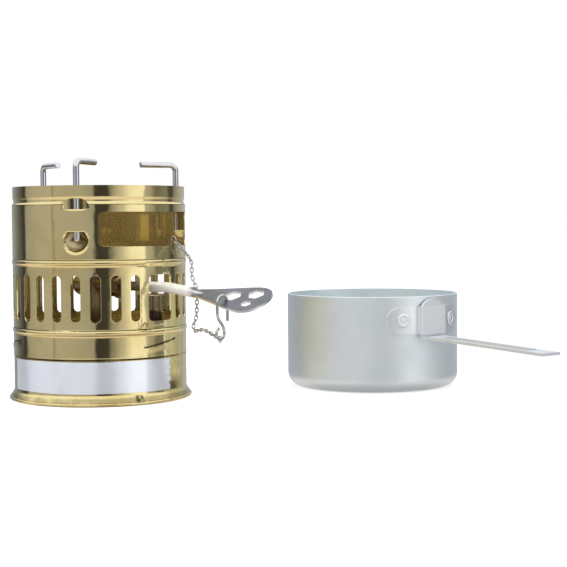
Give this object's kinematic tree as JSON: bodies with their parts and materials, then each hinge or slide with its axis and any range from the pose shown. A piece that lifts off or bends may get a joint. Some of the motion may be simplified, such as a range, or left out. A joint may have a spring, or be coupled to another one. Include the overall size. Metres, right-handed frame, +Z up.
{
  "type": "brass pressure stove",
  "caption": "Brass pressure stove in a slotted windscreen, with folding pot supports, a key on a chain, and its lid standing beside it as a cup.",
  "frame": {"origin": "centre of the stove's foot, on the surface it stands on", "axes": "+Z up along the stove's axis; -Y towards the side with the label and one pot support; +X towards the key and the cup"},
  "size_m": [0.297, 0.1787, 0.1293],
  "materials": {
    "polished_brass": "polished",
    "machined_brass": "satin",
    "steel": "satin",
    "plated_steel": "polished",
    "aluminium": "satin",
    "foil": "satin foil",
    "fibre": "matt",
    "cotton": "matt",
    "rubber": "matt"
  },
  "bodies": {
    "stove": {"tank_shell": "polished_brass", "tank_base": "polished_brass", "label_foil": "foil", "windscreen": "polished_brass", "vaporiser": "machined_brass", "stem_washer": "fibre", "wick": "cotton", "jet_nipple": "machined_brass", "gland_washer": "machined_brass", "gland_packing": "cotton", "gland_nut": "machined_brass", "burner_bell": "machined_brass", "flame_spreader": "steel", "filler_neck": "machined_brass"},
    "spindle": {"spindle": "steel"},
    "needle": {"cleaning_needle": "steel"},
    "key": {"key": "steel"},
    "hook": {"s_hook": "steel"},
    "end_link": {"chain_end": "steel"},
    "lower_chain": {"chain_lower": "steel"},
    "ring": {"chain_ring": "steel"},
    "upper_chain": {"chain_start": "steel", "chain_upper": "steel"},
    "support_1": {"pot_support_1": "plated_steel"},
    "support_2": {"pot_support_2": "plated_steel"},
    "support_3": {"pot_support_3": "plated_steel"},
    "gasket": {"cap_gasket": "rubber"},
    "cap": {"filler_cap": "polished_brass", "relief_screw": "machined_brass", "relief_spring": "steel"},
    "relief_pin": {"relief_pin": "machined_brass"},
    "cup": {"cup": "aluminium", "cup_bracket": "aluminium", "cup_rivets": "aluminium"},
    "handle": {"cup_handle": "aluminium"}
  },
  "joints": [
    {"name": "spindle_turn", "type": "hinge", "parent": "stove", "child": "spindle", "pos_m": [0, 0, 0.0613], "axis": [0.8467, -0.532, 0], "range_deg": [0, 90]},
    {"name": "needle_lift", "type": "slide", "parent": "stove", "child": "needle", "axis": [0, 0, 1], "range_m": [0, 0.0022]},
    {"name": "key_pull", "type": "slide", "parent": "spindle", "child": "key", "axis": [0.8467, -0.532, 0], "range_m": [0, 0.0072]},
    {"name": "hook_swing", "type": "hinge", "parent": "key", "child": "hook", "pos_m": [0.07755, -0.05312, 0.05451], "axis": [0.8467, -0.532, 0], "range_deg": [-90, 0]},
    {"name": "end_link_swing", "type": "hinge", "parent": "hook", "child": "end_link", "pos_m": [0.0767, -0.05448, 0.03621], "axis": [0.714, 0.6944, -0.0895], "range_deg": [0, 12.5]},
    {"name": "lower_chain_swing", "type": "hinge", "parent": "end_link", "child": "lower_chain", "pos_m": [0.0756, -0.05316, 0.03663], "axis": [-0.0032, -0.3242, 0.946], "range_deg": [0, 26.28]},
    {"name": "ring_tilt", "type": "hinge", "parent": "stove", "child": "ring", "pos_m": [0.04462, -0.01445, 0.0799], "axis": [0.532, 0.8467, 0], "range_deg": [0, 8.02]},
    {"name": "upper_chain_swing", "type": "hinge", "parent": "stove", "child": "upper_chain", "pos_m": [0.04769, -0.01639, 0.08815], "axis": [-0.532, -0.8467, 0], "range_deg": [0, 12.28]},
    {"name": "support_1_swivel", "type": "hinge", "parent": "stove", "child": "support_1", "pos_m": [0, -0.04433, 0.095], "axis": [0, 0, 1], "continuous": true},
    {"name": "support_2_swivel", "type": "hinge", "parent": "stove", "child": "support_2", "pos_m": [0.03839, 0.02217, 0.095], "axis": [0, 0, 1], "continuous": true},
    {"name": "support_3_swivel", "type": "hinge", "parent": "stove", "child": "support_3", "pos_m": [-0.03839, 0.02217, 0.095], "axis": [0, 0, 1], "continuous": true},
    {"name": "cap_lift", "type": "slide", "parent": "stove", "child": "gasket", "axis": [0, 0, 1], "range_m": [0, 0.005]},
    {"name": "cap_turn", "type": "hinge", "parent": "gasket", "child": "cap", "pos_m": [0.03053, -0.00538, 0.048], "axis": [0, 0, 1], "range_deg": [0, 1440]},
    {"name": "relief_lift", "type": "slide", "parent": "cap", "child": "relief_pin", "axis": [0, 0, 1], "range_m": [0, 0.0008], "stiffness_N_per_m": 600, "springref_m": -0.001, "deforming": ["relief_spring"]},
    {"name": "cup_lift", "type": "slide", "parent": "stove", "child": "cup", "axis": [0, 0, 1], "range_m": [0, 0.12]},
    {"name": "handle_slide", "type": "slide", "parent": "cup", "child": "handle", "axis": [0, 0, -1], "range_m": [0, 0.018]}
  ],
  "couplings": [
    {"joint": "needle_lift", "follows": "spindle_turn", "m_per_rad": 0.0014},
    {"joint": "hook_swing", "follows": "spindle_turn", "ratio": -1},
    {"joint": "end_link_swing", "follows": "key_pull", "rad_per_m": 30.26},
    {"joint": "lower_chain_swing", "follows": "spindle_turn", "ratio": 0.29181},
    {"joint": "ring_tilt", "follows": "key_pull", "rad_per_m": 19.393},
    {"joint": "upper_chain_swing", "follows": "key_pull", "rad_per_m": 29.723},
    {"joint": "cap_lift", "follows": "cap_turn", "m_per_rad": 0.00019894}
  ]
}
